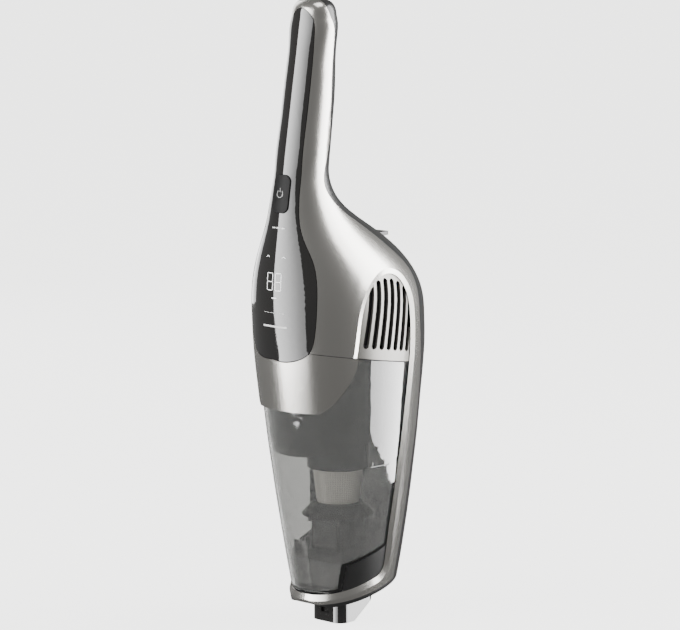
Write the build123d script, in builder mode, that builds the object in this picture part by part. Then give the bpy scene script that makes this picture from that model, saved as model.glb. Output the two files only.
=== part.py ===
import os
from math import atan, degrees, radians, sin

from build123d import *

# Handheld vacuum cleaner: a hand unit with a clear dust cup, a slim handle and a suction spout.
# Millimetres, +Z up along the handle, the glossy front faces -Y, X = 0 is the symmetry plane.
# The origin is the middle of the spout's mouth.

os.makedirs("parts", exist_ok=True)

# ---- driving dimensions ----
standing = (Align.CENTER, Align.CENTER, Align.MIN)   # a cylinder stood on its lower end
shell_wall = 2.2          # outer mouldings
gap = 0.4                 # clearance round the removable cup
cup_inset = shell_wall + gap
cup_wall = 2.0
panel_wall = 2.0
bevel_depth, bevel_width = 2.0, 4.5
reach = 90                # half width of cutting tools
top_z = 490               # end of the handle
k_round = 0.61            # fullness of the oval sections
# outer skin: height, front, back, half width, where it is widest
sections = [
    (7, -42, 40, 34, 0),
    (51, -50.5, 49, 41, 0),
    (111, -61, 58.5, 48.5, -2),
    (171, -70, 66, 54, -5),
    (231, -77.5, 71.5, 57, -8),
    (259, -79, 69, 56, -11),
    (286, -78, 54, 49, -19),
    (309, -75, 26, 36.5, -31),
    (331, -72, -9, 26, -42),
    (356, -68.5, -27, 20.8, -47),
    (411, -59.5, -20, 19.2, -40),
    (476, -48.5, -16.5, 17.8, -32.5),
]
loft_steps = 22
side_plane = Plane.YZ.offset(-reach)  # side outlines are drawn here and cut across
dome_height = 14
dome_steps = [(0, 0), (0.4, 0.8), (0.75, 2.8), (0.93, 5.5), (1, 8.5)]  # share of the height, shrink
foot_front = (-43.95, 8)  # corner and rounding of the sole at the front and back
foot_back = (46.1, 14)
foot_slope = 0.221
floor_slope = 0.287
block_slope = 0.33
seam_slope = 0.1625
axis_y = -6               # motor and filter axis
spout_x, spout_y, spout_r = 33, 41, 8
spout_bore = 14.5
spout_top = 46
base_holes = [(0, -32), (-22, 26), (22, 26)]
bay_back = 34.2           # back wall of the cup
block_front = -30         # front face of the foot block
cover_bottom = 175.5      # lower edge of the cup's painted cover
button_z = 344
fan_r, motor_r = 32, 21
shaft_r = 2.45
cell_r, cell_length = 9.2, 65
cell_pitch = 19
cells = [(-49 + cell_pitch * i, 272) for i in range(5)] + [(-39.5 + cell_pitch * i, 288.5) for i in range(2)]


def seam(y):
    """Height of the slanted joint between body and cup."""
    return 222 - seam_slope * (y + 64)


def sole(y):
    return 16 + foot_slope * (y + 44.3)


def foot_floor(y):
    return 26 + floor_slope * (y + 45.7)


def block_top(y):
    return 51 + block_slope * (y - block_front)


def slopes(column):
    """Slopes that lead a smooth curve through the keys without overshoot."""
    rises = [(b[column] - a[column]) / (b[0] - a[0]) for a, b in zip(sections, sections[1:])]
    inner = [2 * p * q / (p + q) if p * q > 0 else 0 for p, q in zip(rises, rises[1:])]
    return [rises[0], *inner, rises[-1]]


section_slopes = [slopes(column) for column in range(5)]


def section_at(z):
    """Front, back, half width and widest place at height z."""
    i = max(n for n in range(len(sections) - 1) if sections[n][0] <= z or n == 0)
    low, high = sections[i], sections[i + 1]
    span = high[0] - low[0]
    t = (z - low[0]) / span
    ease = 3 * t**2 - 2 * t**3
    leave = span * (t**3 - 2 * t**2 + t)
    arrive = span * (t**3 - t**2)
    return [
        (1 - ease) * low[c] + ease * high[c] + leave * section_slopes[c][i] + arrive * section_slopes[c][i + 1]
        for c in range(1, 5)
    ]


def half_oval(z, inset, front, back, half, widest):
    f, b, w = front + inset, back - inset, half - inset
    with BuildSketch(Plane.XY.offset(z)) as section:
        with BuildLine():
            Bezier((0, f), (k_round * w, f), (w, widest - k_round * (widest - f)), (w, widest))
            Bezier((w, widest), (w, widest + k_round * (b - widest)), (k_round * w, b), (0, b))
            Line((0, b), (0, f))
        make_face()
    return section.sketch


def sole_outline(inset):
    """Everything above the rounded sole, seen from the side."""
    front, front_r = foot_front
    back, back_r = foot_back
    corner = (front + inset, sole(front) + inset)
    heel = (back - inset, sole(back) + inset)
    toe = (corner[0] - 9.65, corner[1] + 50)
    rise = (heel[0] + 8.2, heel[1] + 40)
    with BuildPart() as block:
        with BuildSketch(side_plane):
            with BuildLine():
                edge = FilletPolyline(toe, corner, heel, rise, radius=[max(front_r - inset, 1), back_r - inset])
                Polyline(edge @ 1, (reach, rise[1]), (reach, 600), (-reach, 600), (-reach, toe[1]), edge @ 0)
            make_face()
        extrude(amount=2 * reach)
    return block.part


def envelope(inset):
    """Outer skin of the whole body, moved inwards by inset."""
    low, high = sections[0][0], sections[-1][0]
    rise = dome_height - inset
    with BuildPart() as side:
        for i in range(loft_steps + 1):
            z = low + (high - low) * i / loft_steps
            add(half_oval(z, inset, *section_at(z)))
        loft()
    with BuildPart() as cap:
        for share, shrink in dome_steps:
            add(half_oval(high + rise * share, inset + shrink, *section_at(high)))
        loft()
    with BuildPart() as skin:
        add(side.part)
        add(cap.part)
        add(sole_outline(inset), mode=Mode.INTERSECT)
        mirror(about=Plane.YZ)
    return skin.part


def between(outer, inner):
    """Curved sheet between two skins."""
    with BuildPart() as sheet:
        add(outer)
        add(inner, mode=Mode.SUBTRACT)
    return sheet.part


def side_block(*points):
    """Full-width block with the side outline given as (Y, Z) points."""
    with BuildPart() as block:
        with BuildSketch(side_plane):
            with BuildLine():
                Polyline(*points, close=True)
            make_face()
        extrude(amount=2 * reach)
    return block.part


def band(low, high, front=-reach, back=reach):
    """Full-width slab between two slanted side lines."""
    return side_block((front, low(front)), (back, low(back)), (back, high(back)), (front, high(front)))


def write(part, name):
    part.label = name
    export_step(part, f"parts/{name}.step")


skin = envelope(0)
skin_panel = envelope(panel_wall)
skin_shell = envelope(shell_wall)
skin_cup = envelope(cup_inset)
skin_cup_in = envelope(cup_inset + cup_wall)

# ---- side outlines ----
# front edge of the side window: an S from the cup cover's lower edge up to the arch
s_edge = [(-61, cover_bottom), (-56, 181), (-47.6, 194), (-41.5, 207), (-39, 219), (-36.5, 241), (-31, 262)]
arch = [(-20, 274.5), (-4, 280), (9, 276.5), (17, 266), (20.6, 250)]
back_edge = [(21.2, 234), (20, 209), (16, 171), (12.5, 135), (9.5, 105), (7, 75)]
corner_r = 12
corner_y = 5.5
parting = [
    (-36.5, top_z + 5), (-35.6, 484), (-31, 470), (-32, 440), (-34, 414), (-37, 380), (-43, 362), (-44.5, 350),
    (-38, 338), (-28, 329), (-14, 320), (17.5, 294), (32, 277), (34.5, 256), (35.5, 236), (38, 171),
    (33, 135), (28.5, 100), (24, 64), (21.5, 44), (20, 20),
]

with BuildPart() as window:
    with BuildSketch(side_plane):
        with BuildLine():
            edge = Spline(*s_edge, *arch, *back_edge, (corner_y + 0.6, 58))
            corner = (corner_y, foot_floor(corner_y))
            FilletPolyline(edge @ 1, corner, (-reach, foot_floor(-reach)), radius=corner_r)
            Polyline((-reach, foot_floor(-reach)), (-reach, cover_bottom), edge @ 0)
        make_face()
    extrude(amount=2 * reach)

with BuildPart() as cover_zone:
    with BuildSketch(side_plane):
        with BuildLine():
            edge = Spline(*s_edge)
            Polyline(edge @ 0, (-reach, cover_bottom), (-reach, 262), edge @ 1)
        make_face()
    extrude(amount=2 * reach)
    add(band(seam, lambda y: seam(y) + 200), mode=Mode.SUBTRACT)

with BuildPart() as behind_parting:
    with BuildSketch(side_plane):
        with BuildLine():
            line = Spline(*parting)
            Polyline(line @ 1, (reach, 20), (reach, top_z + 5), line @ 0)
        make_face()
    extrude(amount=2 * reach)

# ---- front panel outline, seen from the front: half width and height, from bottom to top ----
panel_side = [(18, 217.5), (27.5, 223), (32.2, 237), (33.8, 256), (33, 278), (28.8, 294), (22.8, 306), (17.8, 318),
              (15, 334), (14, 356), (13.5, 390), (13.4, 430), (12.8, 462), (10, 477)]
panel_low, panel_high = 216, 484
panel_back = 36           # cutting blocks for the panel start this far in front of the axis


def panel_block(grow):
    """Front-to-back block with the panel's outline grown by grow."""
    right = [(x + grow, z + grow * (z > 470) - grow * (z < 220)) for x, z in panel_side]
    left = [(-x, z) for x, z in reversed(right)]
    with BuildPart() as block:
        with BuildSketch(Plane.XZ.offset(panel_back)):
            with BuildLine():
                Spline((0, panel_low - grow), *right, (0, panel_high + grow), *left, periodic=True)
            make_face()
        extrude(amount=reach - panel_back)
    return block.part


panel_zone = panel_block(0)
panel_hole = panel_block(0.35)
carrier_zone = panel_block(3)
lip_zone = panel_block(0.6)

# ---- painted housing, rear cover and sole ----
shell = between(skin, skin_shell)
below_band = band(lambda y: sole(y) - 50, lambda y: sole(y) + 3)
with BuildPart() as housing:
    add(shell)
    add(behind_parting.part, mode=Mode.SUBTRACT)
    add(window.part, mode=Mode.SUBTRACT)
    add(cover_zone.part, mode=Mode.SUBTRACT)
    add(band(lambda y: cover_bottom, lambda y: seam(y) + 0.4, back=-38), mode=Mode.SUBTRACT)
    add(panel_hole, mode=Mode.SUBTRACT)
    add(below_band, mode=Mode.SUBTRACT)
for side, keep in (("left", Keep.BOTTOM), ("right", Keep.TOP)):
    with BuildPart() as half:
        add(housing.part)
        split(bisect_by=Plane.YZ, keep=keep)
        # broad bevel round the side window
        wall = half.faces().filter_by(GeomType.EXTRUSION).filter_by(lambda f: 600 < f.area < 800)[0]
        rim = max(wall.edges().filter_by(lambda e: e.length > 100), key=lambda e: abs(e.center().X))
        chamfer(rim, length=bevel_depth, length2=bevel_width, reference=wall)
    write(half.part, f"housing_{side}")

with BuildPart() as cup_cover:
    add(cover_zone.part)
    add(skin, mode=Mode.INTERSECT)
    add(skin_cup, mode=Mode.SUBTRACT)
    add(lip_zone, mode=Mode.SUBTRACT)
write(cup_cover.part, "cup_cover")

handle_screws = [385, 452]            # heights of the screws through the back of the handle
body_screws = [(22, 100), (22, 185)]  # side and height of those through the back of the body
body_seat = 46                        # their heads' depth
head_r, screw_r = 3.2, 1.5


def back_at(z):
    return section_at(z)[1]


def screw_places():
    """Middle of each cover screw's head seat, on the back of the body."""
    seats = [(0, back_at(z) - 5, z) for z in handle_screws]
    seats += [(side * x, body_seat, z) for x, z in body_screws for side in (-1, 1)]
    return seats


tab_z, tab_half = 303, 7
with BuildPart() as rear_cover:
    add(shell)
    add(behind_parting.part, mode=Mode.INTERSECT)
    add(band(lambda y: sole(y) - 50, lambda y: sole(y) + 3.2), mode=Mode.SUBTRACT)
    for x, y, z in screw_places():
        with Locations(Plane((x, y, z), z_dir=(0, 1, 0))):
            # screw tube down from the skin to a floor that the head pulls on
            Cylinder(head_r + 1.6, 30, align=standing)
            with Locations((0, 0, 1.5)):
                Cylinder(head_r, 60, align=standing, mode=Mode.SUBTRACT)
            Cylinder(screw_r + 0.2, 60, mode=Mode.SUBTRACT)
    add(skin, mode=Mode.INTERSECT)
    with Locations((0, 34, tab_z + 0.5)):
        Box(2 * tab_half + 1.4, 24, 16, mode=Mode.SUBTRACT)
write(rear_cover.part, "rear_cover")

with BuildPart() as cover_screws:
    for x, y, z in screw_places():
        with Locations(Plane((x, y + 1.5, z), z_dir=(0, 1, 0))):
            Cylinder(head_r - 0.3, 2, align=standing)
            Cylinder(screw_r - 0.05, 12, align=(Align.CENTER, Align.CENTER, Align.MAX))
            with Locations((0, 0, 2)):
                Box(3.4, 0.8, 1.6, mode=Mode.SUBTRACT)
                Box(0.8, 3.4, 1.6, mode=Mode.SUBTRACT)
write(cover_screws.part, "cover_screws")

with BuildPart() as base_cover:
    add(skin)
    add(below_band, mode=Mode.INTERSECT)
    add(band(lambda y: sole(y) - 50, lambda y: sole(y) + 3 - 0.15), mode=Mode.INTERSECT)
    with BuildSketch():
        RectangleRounded(spout_x + 0.5, spout_y + 0.5, spout_r)
    extrude(amount=60, mode=Mode.SUBTRACT)
    for x, y in base_holes:
        with Locations((x, y, sole(y))):
            Cylinder(1.1, 12, mode=Mode.SUBTRACT)
write(base_cover.part, "base_cover")

# ---- front panel, its carrier, button and display ----
button_axis = Plane((0, -71, button_z), x_dir=(1, 0, 0), z_dir=(0, 0.990, -0.139))


def button_block(grow):
    """Front-to-back block with the button's outline grown by grow."""
    with BuildPart() as block:
        with BuildSketch(button_axis.offset(-20)):
            RectangleRounded(15.6 + 2 * grow, 29 + 2 * grow, 5 + grow)
        extrude(amount=40)
    return block.part


with BuildPart() as front_panel:
    add(panel_zone)
    add(skin, mode=Mode.INTERSECT)
    add(skin_panel, mode=Mode.SUBTRACT)
    add(button_block(0.35), mode=Mode.SUBTRACT)
write(front_panel.part, "front_panel")

carrier_out, carrier_in = envelope(shell_wall + 0.15), envelope(shell_wall + 2.15)
with BuildPart() as panel_carrier:
    add(carrier_zone)
    add(carrier_out, mode=Mode.INTERSECT)
    add(carrier_in, mode=Mode.SUBTRACT)
    add(band(lambda y: 0, lambda y: seam(y) + 0.4), mode=Mode.SUBTRACT)
    add(button_block(2.2), mode=Mode.SUBTRACT)
    with Locations((0, -75, 274)):
        Box(27, 12, 27, mode=Mode.SUBTRACT)
    for z in handle_screws:
        with Locations(Plane((0, back_at(z) - 5.3, z), z_dir=(0, -1, 0))):
            depth = back_at(z) - 5.3 - section_at(z)[0] - shell_wall - 1
            Cylinder(3.6, depth, align=standing)
            Cylinder(screw_r, 24, mode=Mode.SUBTRACT)
    add(carrier_out, mode=Mode.INTERSECT)
write(panel_carrier.part, "panel_carrier")

with BuildPart() as button_rim:
    add(button_block(1.6))
    add(envelope(panel_wall + 0.3), mode=Mode.INTERSECT)
    add(envelope(panel_wall + 1.5), mode=Mode.SUBTRACT)
    split(bisect_by=Plane.XZ.offset(55), keep=Keep.TOP)
with BuildPart() as power_button:
    add(button_block(0))
    add(envelope(-1.3), mode=Mode.INTERSECT)
    add(envelope(panel_wall + 1), mode=Mode.SUBTRACT)
    split(bisect_by=Plane.XZ.offset(55), keep=Keep.TOP)
    add(button_rim.part)
write(power_button.part, "power_button")

with BuildPart() as power_switch:
    with BuildSketch(button_axis.offset(6.9)):
        Rectangle(6, 6)
    extrude(amount=3.4)
    with BuildSketch(button_axis.offset(6)):
        Circle(1.7)
    extrude(amount=0.9)
write(power_switch.part, "power_switch")

with BuildPart() as control_board:
    with BuildSketch(button_axis.offset(10.4)):
        with Locations((0, 3)):
            RectangleRounded(22, 52, 2)
    extrude(amount=1.6)
write(control_board.part, "control_board")

display_z = 274
with BuildPart() as display_module:
    with Locations((0, -70.7, display_z)):
        Box(25, 7, 25)
write(display_module.part, "display_module")

with BuildPart() as display_board:
    with Locations((0, -66.1, 267)):
        Box(36, 1.6, 52)
    fillet(display_board.edges().filter_by(Axis.Y), 3)
write(display_board.part, "display_board")

# ---- side vents ----
slot_pitch, slot_width, slot_count = 7.8, 5.2, 7
slot_lean = degrees(atan(seam_slope))
grille_out, grille_in = skin_cup, skin_cup_in
with BuildPart() as vent_slots:
    for i in range(slot_count):
        length = 55.5 - 0.9 * (i - 2.6) ** 2
        foot_y = -31.2 + slot_pitch * i
        middle = (foot_y + length / 2 * sin(radians(slot_lean)), seam(foot_y) + 8 + length / 2)
        with BuildSketch(side_plane):
            with Locations(middle):
                SlotOverall(length, slot_width, rotation=90 - slot_lean)
        extrude(amount=2 * reach)
with BuildPart() as vent_zone:
    add(window.part)
    add(band(lambda y: 0, lambda y: seam(y) + 0.4), mode=Mode.SUBTRACT)
with BuildPart() as vent_grille:
    add(vent_zone.part)
    add(grille_out, mode=Mode.INTERSECT)
    add(grille_in, mode=Mode.SUBTRACT)
    add(vent_slots.part, mode=Mode.SUBTRACT)
foam_out, foam_in = envelope(5.2), envelope(9.2)
foam_line = [(-33, 228), (-25, 272), (-14, 276), (6, 274), (16, 262), (18.5, 240), (18, 220)]
with BuildPart() as exhaust_foam:
    add(side_block(*foam_line))
    add(foam_out, mode=Mode.INTERSECT)
    add(foam_in, mode=Mode.SUBTRACT)
for name, source in (("vent_grille", vent_grille), ("exhaust_foam", exhaust_foam)):
    for side, keep in (("left", Keep.BOTTOM), ("right", Keep.TOP)):
        with BuildPart() as half:
            add(source.part)
            split(bisect_by=Plane.YZ, keep=keep)
        write(half.part, f"{name}_{side}")

# ---- inner frame: slanted bulkhead over the cup and the back wall of its bay ----
frame_skin = envelope(shell_wall + 0.5)
intake_r = 28
wall_front, wall_back = 35, 37.5
arm_front, arm_back = 39.5, 41.5      # latch arm behind the wall
lug_top = 201                         # top of the cup's catch lug
wall_low = block_top(wall_back) + 0.3
spring_low = 168.5
with BuildPart() as bulkhead:
    add(band(lambda y: seam(y) + 0.4, lambda y: seam(y) + 3.4, back=arm_back + 3))
    add(envelope(cup_inset + cup_wall + 0.3), mode=Mode.INTERSECT)
with BuildPart() as chassis:
    wall_top = seam(36) + 1
    add(side_block((wall_front, wall_low), (wall_back, wall_low), (wall_back, wall_top), (wall_front, wall_top)))
    add(frame_skin, mode=Mode.INTERSECT)
    add(bulkhead.part)
    with Locations((0, wall_back, spring_low - 4)):
        Box(14, 9, 4, align=(Align.CENTER, Align.MIN, Align.MIN))
    add(panel_block(4), mode=Mode.SUBTRACT)
    with Locations((0, axis_y, seam(axis_y))):
        Cylinder(intake_r, 40, mode=Mode.SUBTRACT)
    with Locations((0, (arm_front + arm_back) / 2, 206)):
        Box(21, arm_back - arm_front + 1.2, 20, mode=Mode.SUBTRACT)
    with Locations((0, 36, lug_top - 4)):
        Box(15, 10, 12, mode=Mode.SUBTRACT)
    for x, y, z in screw_places()[2:]:
        with Locations(Plane((x, y - 0.4, z), z_dir=(0, -1, 0))):
            Cylinder(3.4, y - 0.4 - wall_back + 0.5, align=standing)
            Cylinder(screw_r, 24, mode=Mode.SUBTRACT)
write(chassis.part, "chassis")

grille_plane = Plane((0, axis_y, seam(axis_y) + 0.9), z_dir=(0, seam_slope, 1))
with BuildPart() as intake_grille:
    with BuildSketch(grille_plane):
        Circle(intake_r - 0.3)
        with PolarLocations(10, 8):
            SlotOverall(9, 4, rotation=0, mode=Mode.SUBTRACT)
        with PolarLocations(21, 14):
            SlotOverall(9, 5, rotation=0, mode=Mode.SUBTRACT)
    extrude(amount=1.8)
write(intake_grille.part, "intake_grille")

# ---- foot: block with the suction duct, spout, seal and contacts ----
frame_foot = band(lambda y: sole(y) + 3.3, lambda y: foot_floor(y) - 0.3)
with BuildPart() as foot_block:
    add(frame_foot)
    add(side_block((block_front, sole(block_front) + 3.3), (wall_back, sole(wall_back) + 3.3),
                   (wall_back, block_top(wall_back)), (block_front, block_top(block_front))))
    add(envelope(cup_inset), mode=Mode.INTERSECT)
    with BuildSketch(Plane.XY):
        RectangleRounded(spout_x + 0.4, spout_y + 0.4, spout_r + 0.2)
    extrude(amount=spout_top + 0.2, mode=Mode.SUBTRACT)
    Cylinder(spout_bore + 1, 90, mode=Mode.SUBTRACT, align=standing)
    with BuildSketch(Plane((0, 0, block_top(0)), z_dir=(0, -block_slope, 1)).offset(-1.4)):
        Circle(19.5)
        Circle(16.8, mode=Mode.SUBTRACT)
    extrude(amount=6, mode=Mode.SUBTRACT)
    for x, y in base_holes:
        with Locations((x, y, sole(y))):
            Cylinder(1.1, 12, align=standing, mode=Mode.SUBTRACT)
write(foot_block.part, "foot_block")

with BuildPart() as inlet_seal:
    with BuildSketch(Plane((0, 0, block_top(0)), z_dir=(0, -block_slope, 1)).offset(-1.35)):
        Circle(19.4)
        Circle(16.9, mode=Mode.SUBTRACT)
    extrude(amount=1.45)
write(inlet_seal.part, "inlet_seal")

chamfer_y, chamfer_z = -4.5, 17       # the mouth is cut back behind this line
slot_y = (16.4, 19)
with BuildPart() as nozzle:
    with BuildSketch():
        RectangleRounded(spout_x, spout_y, spout_r)
    extrude(amount=spout_top)
    spout_heel = side_block((chamfer_y, 0), (spout_y, 0), (spout_y, chamfer_z + 13.6), (spout_y / 2, chamfer_z))
    add(spout_heel, mode=Mode.SUBTRACT)
    Cylinder(spout_bore, 2 * spout_top, mode=Mode.SUBTRACT)
    with Locations((0, sum(slot_y) / 2, 12)):
        Box(17, slot_y[1] - slot_y[0], 44, mode=Mode.SUBTRACT)
    with Locations((0, -spout_y / 2, 11)):
        Box(9, 4, 7, mode=Mode.SUBTRACT)
write(nozzle.part, "nozzle")

with BuildPart() as contact_block:
    with Locations((0, sum(slot_y) / 2, 28)):
        Box(16.6, slot_y[1] - slot_y[0] - 0.2, 11.6)
write(contact_block.part, "contact_block")
with BuildPart() as contact_pins:
    with Locations((-4.5, sum(slot_y) / 2, 22.2), (4.5, sum(slot_y) / 2, 22.2)):
        Box(3, 0.8, 8, align=(Align.CENTER, Align.CENTER, Align.MAX))
write(contact_pins.part, "contact_pins")

with BuildPart() as base_screws:
    for x, y in base_holes:
        with Locations((x, y, sole(y) - 0.2)):
            Cylinder(1, 10, align=standing)
write(base_screws.part, "base_screws")

# ---- motor and fan ----
fan_low, fan_high = 224, 237
with BuildPart() as fan_collar:
    with BuildSketch(Plane.XY.offset(200)):
        with Locations((0, axis_y)):
            Circle(fan_r)
            Circle(intake_r, mode=Mode.SUBTRACT)
    extrude(amount=fan_low - 0.2 - 200)
    add(band(lambda y: 0, lambda y: seam(y) + 3.5), mode=Mode.SUBTRACT)
write(fan_collar.part, "fan_collar")

with BuildPart() as fan_housing:
    with Locations((0, axis_y, fan_low)):
        Cylinder(fan_r + 2, fan_high - fan_low, align=standing)
        Cylinder(fan_r, fan_high - fan_low - 2, align=standing, mode=Mode.SUBTRACT)
        Cylinder(4, 60, mode=Mode.SUBTRACT)
        with PolarLocations(fan_r - 5, 10):
            Box(8, 7, 60, mode=Mode.SUBTRACT)
        with PolarLocations(14, 3, start_angle=30):
            Cylinder(1.2, 60, mode=Mode.SUBTRACT)
write(fan_housing.part, "fan_housing")

with BuildPart() as impeller:
    with Locations((0, axis_y, fan_high - 3.6)):
        Cylinder(fan_r - 2, 1.2, align=(Align.CENTER, Align.CENTER, Align.MAX))
        Cylinder(6, 8, align=(Align.CENTER, Align.CENTER, Align.MAX))
    with Locations((0, axis_y, fan_high - 4.8)):
        with PolarLocations(17.5, 9):
            Box(24, 1.2, 7.2, rotation=(0, 0, 28), align=(Align.CENTER, Align.CENTER, Align.MAX))
    with Locations((0, axis_y, fan_high)):
        Cylinder(shaft_r, 60, mode=Mode.SUBTRACT)
write(impeller.part, "impeller")

can_low, can_high = fan_high + 0.1, 260
with BuildPart() as motor_can:
    with Locations((0, axis_y, can_low)):
        Cylinder(motor_r, can_high - can_low, align=standing)
        with Locations((0, 0, 1.2)):
            Cylinder(motor_r - 1.2, can_high - can_low - 2.4, align=standing, mode=Mode.SUBTRACT)
        Cylinder(5, 60, mode=Mode.SUBTRACT)
        with PolarLocations(14, 3, start_angle=30):
            Cylinder(1.2, 6, mode=Mode.SUBTRACT)
write(motor_can.part, "motor_can")
with BuildPart() as motor_stator:
    with BuildSketch(Plane.XY.offset(can_low + 4)):
        with Locations((0, axis_y)):
            Circle(motor_r - 1.25)
            Circle(11, mode=Mode.SUBTRACT)
    extrude(amount=14)
write(motor_stator.part, "motor_stator")
with BuildPart() as motor_bearings:
    for z in (can_low + 0.1, can_high - 4.1):
        with BuildSketch(Plane.XY.offset(z)):
            with Locations((0, axis_y)):
                Circle(4.95)
                Circle(shaft_r + 0.05, mode=Mode.SUBTRACT)
        extrude(amount=4)
write(motor_bearings.part, "motor_bearings")
with BuildPart() as motor_rotor:
    with Locations((0, axis_y, fan_high - 11.5)):
        Cylinder(shaft_r, can_high - fan_high + 12, align=standing)
    with Locations((0, axis_y, can_low + 4.4)):
        Cylinder(10.2, 13.2, align=standing)
write(motor_rotor.part, "motor_rotor")
with BuildPart() as motor_screws:
    with Locations((0, axis_y, fan_high - 2)):
        with PolarLocations(14, 3, start_angle=30):
            Cylinder(1.1, 4, align=standing)
            Cylinder(2, 1, align=(Align.CENTER, Align.CENTER, Align.MAX))
write(motor_screws.part, "motor_screws")

# ---- battery: seven round cells across the body ----
with BuildPart() as battery_cells:
    for y, z in cells:
        with Locations(Plane((0, y, z), z_dir=(1, 0, 0))):
            Cylinder(cell_r, cell_length)
write(battery_cells.part, "battery_cells")
holder_in, holder_out = 22, cell_length / 2 - 1
for side, sign in (("left", -1), ("right", 1)):
    with BuildPart() as holder:
        with BuildSketch(Plane.YZ.offset(min(sign * holder_in, sign * holder_out))):
            for y, z in cells:
                with Locations((y, z)):
                    Circle(cell_r + 1.1)
            for y, z in cells:
                with Locations((y, z)):
                    Circle(cell_r + 0.05, mode=Mode.SUBTRACT)
        extrude(amount=holder_out - holder_in)
    write(holder.part, f"battery_holder_{side}")
with BuildPart() as battery_links:
    for x, first in ((-cell_length / 2 - 0.25, 0), (cell_length / 2 + 0.25, 1)):
        for i in range(first, 5 - first, 2):
            (y, z) = cells[i]
            if i < 4:
                with Locations((x, y + cell_pitch / 2, z)):
                    Box(0.3, cell_pitch + 8, 8)
write(battery_links.part, "battery_links")
with BuildPart() as battery_board:
    with Locations((0, 17.5, 283.8)):
        Box(46, 26, 1.6)
write(battery_board.part, "battery_board")

# ---- release slider and its spring ----
with BuildPart() as release_slider:
    add(side_block((24, tab_z - 1.5), (47, tab_z - 1.5), (47, tab_z + 1.5), (24, tab_z + 1.5)))
    Box(2 * tab_half, 400, 1000, mode=Mode.INTERSECT)
    fillet(release_slider.edges().filter_by(Axis.Z), 2)
with BuildPart() as latch_arm:
    add(side_block((23, tab_z + 1.5), (25.5, tab_z + 1.5), (arm_back, 286), (arm_back, 185),
                   (arm_front, 185), (arm_front, 285), (23, tab_z - 1)))
    Box(18, 400, 1000, mode=Mode.INTERSECT)
    with Locations((0, 40, (194 + 208.5) / 2)):
        Box(13, 20, 14.5, mode=Mode.SUBTRACT)
    add(release_slider.part)
write(latch_arm.part, "release_slider")

with BuildPart() as release_spring:
    with BuildLine():
        coil = Helix(pitch=2.4, height=15.4, radius=3, center=(0, 41.2, spring_low + 0.5))
    with BuildSketch(Plane(origin=coil @ 0, z_dir=coil % 0)):
        Circle(0.45)
    sweep()
write(release_spring.part, "release_spring")

# ---- dust cup and what comes out with it ----
cup_side = side_block((-reach, foot_floor(-reach) + gap), (block_front - 0.4, foot_floor(block_front) + gap),
                      (block_front - 0.4, block_top(block_front) + gap), (bay_back, block_top(bay_back) + gap),
                      (bay_back, seam(bay_back) - 0.4), (-reach, seam(-reach) - 0.4))
step_y = block_front - 0.4 - cup_wall
cup_hollow = side_block((-reach, foot_floor(-reach) + gap + cup_wall), (step_y, foot_floor(step_y) + gap + cup_wall),
                        (step_y, block_top(step_y) + gap + cup_wall),
                        (bay_back - cup_wall, block_top(bay_back - cup_wall) + gap + cup_wall),
                        (bay_back - cup_wall, seam(bay_back) + 20), (-reach, seam(-reach) + 20))
duct_in, duct_out, duct_top = 15, 17, 84
flap_axis = (0, -21.9, 82)
pin_r = 0.9
collar_low, collar_r = 123, 24        # collar that the mesh hangs from
mesh_r = 16.4
lid_r = 29
with BuildPart() as hollow:
    add(cup_hollow)
    add(skin_cup_in, mode=Mode.INTERSECT)
with BuildPart() as dust_cup:
    add(cup_side)
    add(skin_cup, mode=Mode.INTERSECT)
    add(hollow.part, mode=Mode.SUBTRACT)
    Cylinder(duct_in, 90, mode=Mode.SUBTRACT, align=standing)
    add(lip_zone, mode=Mode.SUBTRACT)
    # catch lug for the latch
    with Locations((0, bay_back + 5.4, lug_top - 1.5)):
        Box(12, 11, 3)
    with Locations((0, 44, lug_top - 4)):
        Box(12, 2, 4)
write(dust_cup.part, "dust_cup")

with BuildPart() as inlet_duct:
    Cylinder(duct_out, duct_top, align=standing)
    with Locations((0, -19.5, 57)):
        Box(30, 12, duct_top - 57, align=(Align.CENTER, Align.MIN, Align.MIN))
    with Locations((-14.2, -24, 79.5), (14.2, -24, 79.5)):
        Box(2.4, 6, duct_top - 79.5, align=(Align.CENTER, Align.MIN, Align.MIN))
    Cylinder(duct_in, duct_top - 2, align=standing, mode=Mode.SUBTRACT)
    with Locations((0, -20, 70)):
        Box(20, 20, 16, mode=Mode.SUBTRACT)
    add(band(lambda y: 0, lambda y: block_top(y) + gap + cup_wall + 0.05), mode=Mode.SUBTRACT)
    with Locations(Plane(flap_axis, z_dir=(1, 0, 0))):
        Cylinder(pin_r + 0.02, 60, mode=Mode.SUBTRACT)
write(inlet_duct.part, "inlet_duct")

with BuildPart() as flap_pin:
    with Locations(Plane(flap_axis, z_dir=(1, 0, 0))):
        Cylinder(pin_r, 30.6)
write(flap_pin.part, "flap_pin")

with BuildPart() as inlet_flap:
    with Locations((0, -20.5, 60)):
        Box(24.4, 1.4, 22, align=standing)
    with Locations(Plane(flap_axis, z_dir=(1, 0, 0))):
        Cylinder(1.7, 24.4)
        Cylinder(pin_r + 0.05, 60, mode=Mode.SUBTRACT)
write(inlet_flap.part, "inlet_flap")


def filter_floor(y):
    return 156 + 0.283 * y


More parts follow.
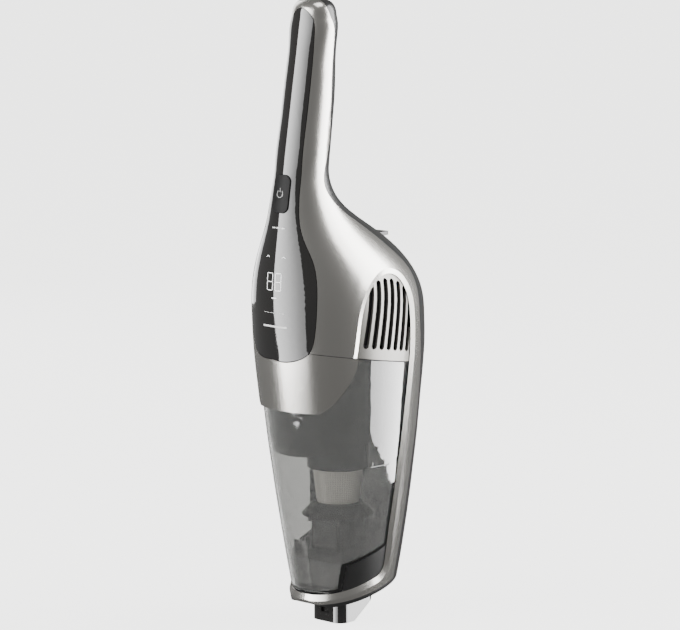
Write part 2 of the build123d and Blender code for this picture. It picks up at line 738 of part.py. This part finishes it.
filter_back = bay_back - cup_wall - 0.4
filter_in = envelope(cup_inset + cup_wall + 0.4)
with BuildPart() as filter_hollow:
    add(side_block((-reach, filter_floor(-reach) + 2), (filter_back - 2, filter_floor(filter_back - 2) + 2),
                   (filter_back - 2, 240), (-reach, 240)))
    add(envelope(cup_inset + cup_wall + 2.4), mode=Mode.INTERSECT)
with BuildPart() as filter_housing:
    add(side_block((-reach, filter_floor(-reach)), (filter_back, filter_floor(filter_back)),
                   (filter_back, seam(filter_back) - 2.9), (-reach, seam(-reach) - 2.9)))
    add(filter_in, mode=Mode.INTERSECT)
    add(filter_hollow.part, mode=Mode.SUBTRACT)
    with Locations((0, axis_y, collar_low)):
        Cylinder(collar_r, filter_floor(-25) - collar_low + 1, align=standing)
    with BuildSketch(Plane.XY.offset(filter_floor(-30))):
        with Locations((0, axis_y)):
            Circle(collar_r)
    extrude(amount=filter_floor(18) - filter_floor(-30))
    add(filter_hollow.part, mode=Mode.SUBTRACT)
    with Locations((0, axis_y, collar_low)):
        Cylinder(collar_r - 4, 60, align=standing, mode=Mode.SUBTRACT)
    add(lip_zone, mode=Mode.SUBTRACT)
write(filter_housing.part, "filter_housing")

with BuildPart() as filter_lid:
    add(band(lambda y: seam(y) - 2.8, lambda y: seam(y) - 0.8, back=filter_back))
    add(filter_in, mode=Mode.INTERSECT)
    with Locations((0, axis_y, 0)):
        Cylinder(lid_r, 600, mode=Mode.SUBTRACT)
    add(lip_zone, mode=Mode.SUBTRACT)
write(filter_lid.part, "filter_lid")
with BuildPart() as lid_seal:
    with BuildSketch(Plane((0, axis_y, seam(axis_y) - 0.75), z_dir=(0, seam_slope, 1))):
        Circle(lid_r + 4)
        Circle(lid_r + 0.4, mode=Mode.SUBTRACT)
    extrude(amount=0.8)
    add(lip_zone, mode=Mode.SUBTRACT)
write(lid_seal.part, "lid_seal")

with BuildPart() as pre_motor_filter:
    with Locations((0, axis_y, 176)):
        Cylinder(33, 25, align=standing)
write(pre_motor_filter.part, "pre_motor_filter")

mesh_low, mesh_high = 95.2, collar_low - 0.2
with BuildPart() as mesh_screen:
    with Locations((0, axis_y, mesh_low)):
        Cone(mesh_r, mesh_r + 3.6, mesh_high - mesh_low, align=standing)
        Cone(mesh_r - 0.8, mesh_r + 2.8, mesh_high - mesh_low, align=standing, mode=Mode.SUBTRACT)
write(mesh_screen.part, "mesh_screen")

with BuildPart() as cyclone_skirt:
    with BuildSketch(Plane.XZ):
        with BuildLine():
            Polyline((0, 93), (18, 93), (26.4, 85), (28, 85), (28, 86), (19.5, 95), (0, 95), close=True)
        make_face()
    revolve(axis=Axis.Z)
cyclone_skirt.part.position = (0, axis_y, 0)
write(cyclone_skirt.part, "cyclone_skirt")
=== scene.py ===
import bpy
from math import cos, pi, radians, sin
from mathutils import Matrix, Vector


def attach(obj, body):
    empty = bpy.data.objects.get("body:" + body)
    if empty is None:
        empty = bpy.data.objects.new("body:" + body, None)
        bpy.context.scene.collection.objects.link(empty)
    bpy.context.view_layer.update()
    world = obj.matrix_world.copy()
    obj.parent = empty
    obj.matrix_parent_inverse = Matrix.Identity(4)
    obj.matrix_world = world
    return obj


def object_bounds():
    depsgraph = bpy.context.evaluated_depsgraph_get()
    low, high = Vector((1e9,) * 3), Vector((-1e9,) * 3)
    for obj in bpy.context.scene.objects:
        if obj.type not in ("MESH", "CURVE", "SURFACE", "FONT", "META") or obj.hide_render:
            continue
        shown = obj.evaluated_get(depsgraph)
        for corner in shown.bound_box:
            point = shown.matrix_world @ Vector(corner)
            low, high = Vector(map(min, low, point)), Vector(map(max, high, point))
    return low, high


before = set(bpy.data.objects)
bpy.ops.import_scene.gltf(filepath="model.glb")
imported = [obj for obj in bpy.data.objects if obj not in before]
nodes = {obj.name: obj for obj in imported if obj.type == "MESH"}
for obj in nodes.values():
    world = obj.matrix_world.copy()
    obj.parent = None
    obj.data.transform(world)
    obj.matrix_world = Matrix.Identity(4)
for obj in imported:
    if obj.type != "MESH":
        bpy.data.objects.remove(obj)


def plainBox(bounds):
    return [list(map(float, corner)) for corner in bounds]


cadBox = plainBox(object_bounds())
print("frame loaded,", len(nodes), "pieces")

# camera and soft boxes stand round this point, azimuth 0 is straight in front and 90 is the +X side
middle = Vector((0.0, -0.010, 0.241))


def around(azimuth, elevation, distance):
    turn, tilt = radians(azimuth), radians(elevation)
    return middle + distance * Vector((sin(turn) * cos(tilt), -cos(turn) * cos(tilt), sin(tilt)))


cameraView = {"azimuth": 42, "elevation": 9, "distance": 2.6, "lens": 176.5, "right": 0.0045, "up": 0.0023}


def addCamera(view):
    spot = around(view["azimuth"], view["elevation"], view["distance"])
    ahead = (middle - spot).normalized()
    right = ahead.cross(Vector((0, 0, 1))).normalized()
    bpy.ops.object.camera_add(location=spot + right * view["right"] + right.cross(ahead) * view["up"])
    camera = bpy.context.object
    camera.rotation_euler = ahead.to_track_quat("-Z", "Y").to_euler()
    camera.data.lens = view["lens"]
    bpy.context.scene.camera = camera


addCamera(cameraView)

softBoxes = {
    "leftBox": {"azimuth": -12, "elevation": 8, "distance": 1.5,
                "width": 1.60, "height": 2.0, "power": 125, "fade": (1.0, 0.25)},
    "rightBox": {"azimuth": 136, "elevation": 10, "distance": 1.5,
                 "width": 1.15, "height": 1.9, "power": 120, "fade": (0.55, 1.0)},
    "topBox": {"azimuth": 75, "elevation": 74, "distance": 1.7,
               "width": 0.9, "height": 0.9, "power": 12, "fade": (1.0, 1.0)},
    "backBox": {"azimuth": 256, "elevation": 18, "distance": 1.6,
                "width": 0.8, "height": 1.6, "power": 18, "fade": (1.0, 0.5)},
}


def fadeAcross(light, fade):  # brightness runs from one side of the box to the other
    light.use_nodes = True
    tree = light.node_tree
    split = tree.nodes.new("ShaderNodeSeparateXYZ")
    tree.links.new(tree.nodes.new("ShaderNodeNewGeometry").outputs["Parametric"], split.inputs["Vector"])
    ramp = tree.nodes.new("ShaderNodeMapRange")
    ramp.interpolation_type = "SMOOTHSTEP"
    ramp.inputs["To Min"].default_value = fade[0]
    ramp.inputs["To Max"].default_value = fade[1]
    tree.links.new(split.outputs["X"], ramp.inputs["Value"])
    tree.links.new(ramp.outputs["Result"], tree.nodes["Emission"].inputs["Strength"])


for boxName, values in softBoxes.items():
    spot = around(values["azimuth"], values["elevation"], values["distance"])
    bpy.ops.object.light_add(type="AREA", location=spot)
    light = bpy.context.object
    light.name = boxName
    light.rotation_euler = (middle - spot).to_track_quat("-Z", "Y").to_euler()
    light.data.shape = "RECTANGLE"
    light.data.size = values["width"]
    light.data.size_y = values["height"]
    light.data.energy = values["power"]
    fadeAcross(light.data, values["fade"])

studio = {"sky": (0.95, 0.95, 0.94), "lit": 0.22, "floorColor": (0.25, 0.25, 0.247), "floorGlow": 13}
world = bpy.data.worlds.new("studio")
bpy.context.scene.world = world
world.use_nodes = True
sky = world.node_tree.nodes["Background"]
sky.inputs["Color"].default_value = (*studio["sky"], 1)
sky.inputs["Strength"].default_value = studio["lit"]
print("camera and lights set")


# each finish is a dictionary, made into nodes here
def finishFor(look):
    material = bpy.data.materials.new(look["name"])
    material.use_nodes = True
    tree = material.node_tree
    shader = tree.nodes["Principled BSDF"]
    place = tree.nodes.new("ShaderNodeTexCoord").outputs["Object"]
    mottle = tree.nodes.new("ShaderNodeTexNoise")  # slow change of shade
    mottle.inputs["Scale"].default_value = look.get("mottle", 40)
    mottle.inputs["Detail"].default_value = 4
    tree.links.new(place, mottle.inputs["Vector"])
    shade = tree.nodes.new("ShaderNodeMix")
    shade.data_type = "RGBA"
    shade.inputs["A"].default_value = (*look["color"], 1)
    shade.inputs["B"].default_value = (*look["shade"], 1)
    tree.links.new(mottle.outputs["Fac"], shade.inputs["Factor"])
    tree.links.new(shade.outputs["Result"], shader.inputs["Base Color"])
    grain = tree.nodes.new("ShaderNodeTexNoise")  # moulded or sprayed grain
    grain.inputs["Scale"].default_value = look.get("grain", 1500)
    grain.inputs["Detail"].default_value = 2
    tree.links.new(place, grain.inputs["Vector"])
    polish = tree.nodes.new("ShaderNodeMapRange")
    polish.inputs["To Min"].default_value = look["rough"][0]
    polish.inputs["To Max"].default_value = look["rough"][1]
    tree.links.new(grain.outputs["Fac"], polish.inputs["Value"])
    tree.links.new(polish.outputs["Result"], shader.inputs["Roughness"])
    if look.get("bump", 0.05):
        relief = tree.nodes.new("ShaderNodeBump")
        relief.inputs["Strength"].default_value = look.get("bump", 0.05)
        relief.inputs["Distance"].default_value = look.get("depth", 0.00005)
        tree.links.new(grain.outputs["Fac"], relief.inputs["Height"])
        tree.links.new(relief.outputs["Normal"], shader.inputs["Normal"])
    shader.inputs["Metallic"].default_value = look.get("metal", 0)
    shader.inputs["Coat Weight"].default_value = look.get("coat", 0)
    shader.inputs["Coat Roughness"].default_value = look.get("coatRough", 0.03)
    shader.inputs["Transmission Weight"].default_value = look.get("clear", 0)
    shader.inputs["IOR"].default_value = look.get("ior", 1.5)
    shader.inputs["Specular IOR Level"].default_value = look.get("specular", 0.5)
    if "glow" in look:
        shader.inputs["Emission Color"].default_value = (*look["color"], 1)
        shader.inputs["Emission Strength"].default_value = look["glow"]
    return material



silverPaint = finishFor({
    "name": "silverPaint", "color": (0.53, 0.515, 0.485), "shade": (0.49, 0.475, 0.45), "mottle": 18,
    "grain": 2600, "rough": (0.22, 0.28), "metal": 0.95, "coat": 0.35, "coatRough": 0.06,
    "bump": 0.02, "depth": 0.00002})
glossBlack = finishFor({
    "name": "glossBlack", "color": (0.010, 0.010, 0.010), "shade": (0.016, 0.015, 0.014), "mottle": 12,
    "grain": 300, "rough": (0.05, 0.09), "coat": 1.0, "coatRough": 0.02, "bump": 0.01})
blackPlastic = finishFor({
    "name": "blackPlastic", "color": (0.012, 0.012, 0.012), "shade": (0.020, 0.020, 0.020), "mottle": 60,
    "grain": 2200, "rough": (0.26, 0.40), "coat": 0.2, "coatRough": 0.15, "bump": 0.12})
satinBlack = finishFor({
    "name": "satinBlack", "color": (0.008, 0.008, 0.008), "shade": (0.014, 0.014, 0.014), "mottle": 90,
    "grain": 2400, "rough": (0.38, 0.48), "specular": 0.10, "bump": 0.15})
darkPlastic = finishFor({
    "name": "darkPlastic", "color": (0.030, 0.030, 0.031), "shade": (0.045, 0.044, 0.043), "mottle": 50,
    "grain": 1800, "rough": (0.34, 0.50), "bump": 0.15})
ventPaint = finishFor({
    "name": "ventPaint", "color": (0.26, 0.25, 0.235), "shade": (0.20, 0.195, 0.18), "mottle": 40,
    "grain": 2000, "rough": (0.28, 0.40), "metal": 0.6, "coat": 0.2, "bump": 0.06})
smokedCup = finishFor({
    "name": "smokedCup", "color": (0.36, 0.36, 0.352), "shade": (0.34, 0.34, 0.333), "mottle": 10,
    "grain": 120, "rough": (0.02, 0.04), "clear": 1.0, "ior": 1.49, "coat": 1.0, "bump": 0})
softRubber = finishFor({
    "name": "softRubber", "color": (0.020, 0.020, 0.020), "shade": (0.030, 0.029, 0.028), "mottle": 70,
    "grain": 1400, "rough": (0.62, 0.80), "bump": 0.2})
openFoam = finishFor({
    "name": "openFoam", "color": (0.006, 0.006, 0.006), "shade": (0.02, 0.02, 0.019), "mottle": 700,
    "grain": 900, "rough": (0.85, 1.0), "bump": 1.0, "depth": 0.0008})
filterCloth = finishFor({
    "name": "filterCloth", "color": (0.78, 0.76, 0.70), "shade": (0.66, 0.64, 0.58), "mottle": 300,
    "grain": 1600, "rough": (0.80, 0.95), "bump": 0.5, "depth": 0.0004})
brightSteel = finishFor({
    "name": "brightSteel", "color": (0.62, 0.61, 0.59), "shade": (0.50, 0.49, 0.47), "mottle": 80,
    "grain": 2600, "rough": (0.18, 0.34), "metal": 1.0, "bump": 0.05})
brassMetal = finishFor({
    "name": "brassMetal", "color": (0.78, 0.56, 0.25), "shade": (0.62, 0.44, 0.20), "mottle": 90,
    "grain": 2000, "rough": (0.2, 0.36), "metal": 1.0, "bump": 0.05})
copperWire = finishFor({
    "name": "copperWire", "color": (0.72, 0.30, 0.13), "shade": (0.45, 0.17, 0.07), "mottle": 600,
    "grain": 1200, "rough": (0.28, 0.42), "metal": 0.9, "bump": 0.5, "depth": 0.0004})
boardGreen = finishFor({
    "name": "boardGreen", "color": (0.012, 0.10, 0.035), "shade": (0.018, 0.15, 0.055), "mottle": 260,
    "grain": 900, "rough": (0.30, 0.45), "coat": 0.4, "bump": 0.1})
cellBlue = finishFor({
    "name": "cellBlue", "color": (0.02, 0.10, 0.34), "shade": (0.025, 0.12, 0.40), "mottle": 30,
    "grain": 800, "rough": (0.22, 0.34), "coat": 0.5, "bump": 0.04})
whiteGlow = finishFor({
    "name": "whiteGlow", "color": (1.0, 1.0, 0.98), "shade": (0.92, 0.95, 1.0),
    "rough": (0.3, 0.4), "glow": 1.6})
printedWhite = finishFor({
    "name": "printedWhite", "color": (0.80, 0.80, 0.79), "shade": (0.70, 0.70, 0.69),
    "rough": (0.4, 0.5)})

screenLook = {"around": 62, "along": 2100, "thread": (0.95, 0.91, 0.83), "hole": (0.40, 0.38, 0.35), "depth": 0.0002}


def wovenScreen(look):
    material = finishFor({"name": "wovenScreen", "color": look["thread"], "shade": look["thread"],
                          "rough": (0.35, 0.5), "metal": 0.3})
    tree = material.node_tree
    split = tree.nodes.new("ShaderNodeSeparateXYZ")
    tree.links.new(tree.nodes["Texture Coordinate"].outputs["Object"], split.inputs["Vector"])

    def worked(kind, first, second=None):  # one Math node
        node = tree.nodes.new("ShaderNodeMath")
        node.operation = kind
        for socket, value in zip(node.inputs, (first, second)):
            if isinstance(value, (int, float)):
                socket.default_value = value
            elif value is not None:
                tree.links.new(value, socket)
        return node.outputs["Value"]

    across = worked("ADD", split.outputs["Y"], 0.006)  # the screen stands round the axis at Y -6 mm
    angle = worked("ARCTAN2", split.outputs["X"], across)
    warp = worked("SINE", worked("MULTIPLY", angle, look["around"]))
    weft = worked("SINE", worked("MULTIPLY", split.outputs["Z"], look["along"] * 2))
    thread = worked("MAXIMUM", warp, weft)
    shade = tree.nodes["Mix"]
    shade.inputs["A"].default_value = (*look["hole"], 1)
    for link in list(shade.inputs["Factor"].links):
        tree.links.remove(link)
    tree.links.new(worked("MULTIPLY_ADD", thread, 0.5), shade.inputs["Factor"])
    relief = tree.nodes["Bump"]
    relief.inputs["Strength"].default_value = 0.6
    relief.inputs["Distance"].default_value = look["depth"]
    for link in list(relief.inputs["Height"].links):
        tree.links.remove(link)
    tree.links.new(thread, relief.inputs["Height"])
    return material


screenMesh = wovenScreen(screenLook)
print("finishes made")

finishOf = {
    silverPaint: ["housing_left", "housing_right", "cup_cover"],
    glossBlack: ["front_panel", "nozzle"],
    blackPlastic: ["rear_cover", "base_cover", "foot_block", "release_slider"],
    satinBlack: ["power_button", "filter_lid", "cyclone_skirt", "intake_grille", "filter_housing", "inlet_duct"],
    darkPlastic: ["panel_carrier", "power_switch", "display_module", "chassis", "contact_block", "fan_collar",
                  "fan_housing", "impeller", "battery_holder_left", "battery_holder_right"],
    ventPaint: ["vent_grille_left", "vent_grille_right"],
    smokedCup: ["dust_cup"],
    softRubber: ["inlet_seal", "inlet_flap", "lid_seal"],
    openFoam: ["exhaust_foam_left", "exhaust_foam_right"],
    filterCloth: ["pre_motor_filter"],
    brightSteel: ["base_screws", "cover_screws", "motor_can", "motor_stator", "motor_bearings", "motor_screws",
                  "battery_links", "release_spring", "flap_pin"],
    brassMetal: ["contact_pins"],
    copperWire: ["motor_rotor"],
    boardGreen: ["control_board", "display_board", "battery_board"],
    cellBlue: ["battery_cells"],
    screenMesh: ["mesh_screen"],
}
for material, names in finishOf.items():
    for name in names:
        for slot in nodes[name].material_slots:
            slot.material = material
print("finishes given to", sum(map(len, finishOf.values())), "of", len(nodes), "pieces")


# marks are narrow bars with tapered ends, laid on the surface behind them
barShape = {"across": 2, "along": 10, "endWidth": 0.4}


def addBar(at, length, width, turn, facing):
    bpy.ops.object.select_all(action="DESELECT")
    bpy.ops.mesh.primitive_grid_add(x_subdivisions=barShape["across"], y_subdivisions=barShape["along"], size=1)
    bar = bpy.context.object
    for vert in bar.data.vertices:
        vert.select = abs(vert.co.y) > 0.49  # the two end rows
    bpy.ops.object.mode_set(mode="EDIT")
    bpy.ops.transform.resize(value=(barShape["endWidth"], 1, 1))
    bpy.ops.object.mode_set(mode="OBJECT")
    upright = Matrix.Rotation(pi / 2, 4, "X")
    if facing == "front":
        pose = Matrix.Rotation(turn, 4, "Y") @ upright
    else:
        pose = Matrix.Rotation(turn, 4, "X") @ Matrix.Rotation(pi / 2, 4, "Z") @ upright
    bar.matrix_world = Matrix.Translation(at) @ pose @ Matrix.Diagonal((width, length, 1, 1))
    return bar


def joinBars(bars, name):
    bpy.ops.object.select_all(action="DESELECT")
    for bar in bars:
        bar.select_set(True)
    bpy.context.view_layer.objects.active = bars[0]
    bpy.ops.object.join()
    bpy.ops.object.transform_apply(location=True, rotation=True, scale=True)
    joined = bpy.context.object
    joined.name = name
    return joined


markLayer = {"lift": 0.00012, "thick": 0.00010}


def layOn(mark, target, facing):
    wrap = mark.modifiers.new("wrap", "SHRINKWRAP")
    wrap.target = nodes[target]
    wrap.wrap_method = "PROJECT"
    wrap.use_project_y = facing == "front"
    wrap.use_project_x = facing != "front"
    wrap.use_positive_direction = facing == "front"
    wrap.use_negative_direction = facing != "front"
    wrap.wrap_mode = "ABOVE_SURFACE"
    wrap.offset = markLayer["lift"]
    skin = mark.modifiers.new("skin", "SOLIDIFY")
    skin.thickness = markLayer["thick"]
    skin.offset = 1
    for modifier in ("wrap", "skin"):
        bpy.ops.object.modifier_apply(modifier=modifier)


def finishMark(mark, material, body):
    mark.data.materials.clear()
    mark.data.materials.append(material)
    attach(mark, body)


ahead = -0.13  # marks start here, in front of the panel
digitBars = {"height": 0.0132, "width": 0.0056, "stroke": 0.0009, "spread": 0.0084, "gap": 0.0006, "z": 0.277}
bars = []
for side in (-1, 1):
    x, half = side * digitBars["spread"] / 2, digitBars["width"] / 2
    step, length = digitBars["height"] / 2, digitBars["height"] / 2 - digitBars["gap"]
    for level in (-1, 0, 1):
        z = digitBars["z"] + level * step
        bars.append(addBar((x, ahead, z), 2 * half - digitBars["gap"], digitBars["stroke"], pi / 2, "front"))
        if level:
            for edge in (-1, 1):
                bars.append(addBar((x + edge * half, ahead, digitBars["z"] + level * step / 2), length,
                                   digitBars["stroke"], 0, "front"))
digits = joinBars(bars, "display_digits")
layOn(digits, "front_panel", "front")
finishMark(digits, whiteGlow, "body")

# each bar below is x, z, length, width and turn
iconBars = {
    "battery": [(0, 0.2645, 0.0042, 0.0014, pi / 2), (0.0027, 0.2645, 0.0009, 0.0006, pi / 2)],
    "waves": [(-0.0088, 0.2960, 0.0022, 0.0006, radians(60)),
              (-0.0072, 0.2960, 0.0022, 0.0006, radians(-60)),
              (0.0072, 0.2960, 0.0022, 0.0006, radians(60)),
              (0.0088, 0.2960, 0.0022, 0.0006, radians(-60))]}
icons = joinBars([addBar((x, ahead, z), length, width, turn, "front")
                  for group in iconBars.values() for x, z, length, width, turn in group], "display_icons")
layOn(icons, "front_panel", "front")
finishMark(icons, whiteGlow, "body")

panelMarks = {"upper": [(x, 0.3180, 0.0036, 0.0022, pi / 2) for x in (-0.0045, 0, 0.0045)],
              "middle": [(x / 1000, 0.2530, 0.0022, 0.0008, pi / 2) for x in range(-9, 12, 3)],
              "lower": [(0, 0.2425, 0.0240, 0.0034, pi / 2)]}
prints = joinBars([addBar((x, ahead, z), length, width, turn, "front")
                   for group in panelMarks.values() for x, z, length, width, turn in group], "panel_marks")
layOn(prints, "front_panel", "front")
finishMark(prints, printedWhite, "body")

powerIcon = {"z": 0.3440, "ring": 0.0028, "stroke": 0.0007, "stem": 0.0030, "arc": 0.0018,
             "steps": 12, "gap": 1}
bars = [addBar((0, ahead, powerIcon["z"] + powerIcon["ring"]), powerIcon["stem"], powerIcon["stroke"], 0, "front")]
for step in range(powerIcon["gap"] + 1, powerIcon["steps"] - powerIcon["gap"]):
    turn = 2 * pi * step / powerIcon["steps"]
    bars.append(addBar((powerIcon["ring"] * sin(turn), ahead, powerIcon["z"] + powerIcon["ring"] * cos(turn)),
                       powerIcon["arc"], powerIcon["stroke"], turn + pi / 2, "front"))
ring = joinBars(bars, "power_icon")
layOn(ring, "power_button", "front")
finishMark(ring, printedWhite, "power_button")

fillMark = {"x": 0.10, "z": 0.1300,
            "bars": [(-0.0100, 0, 0.0180, 0.0008, pi / 2), (-0.0175, 0.0022, 0.0030, 0.0006, 0)]}
level = joinBars([addBar((fillMark["x"], y, fillMark["z"] + rise), length, width, turn, "side")
                  for y, rise, length, width, turn in fillMark["bars"]], "fill_mark")
layOn(level, "dust_cup", "side")
finishMark(level, printedWhite, "cup")
print("marks laid on")

floorSize = {"side": 40, "z": cadBox[0][2]}
bpy.ops.object.select_all(action="DESELECT")
bpy.ops.mesh.primitive_plane_add(size=floorSize["side"], location=(0, 0, floorSize["z"]))
floor = bpy.context.object
floor.name = "floor"
floor.data.materials.append(finishFor({
    "name": "paleFloor", "color": studio["floorColor"], "shade": studio["floorColor"], "mottle": 2, "grain": 30,
    "rough": (0.7, 0.8), "glow": studio["floorGlow"], "bump": 0}))
floor.visible_glossy = False  # the soft boxes alone light and shine on the machine
floor.visible_diffuse = False
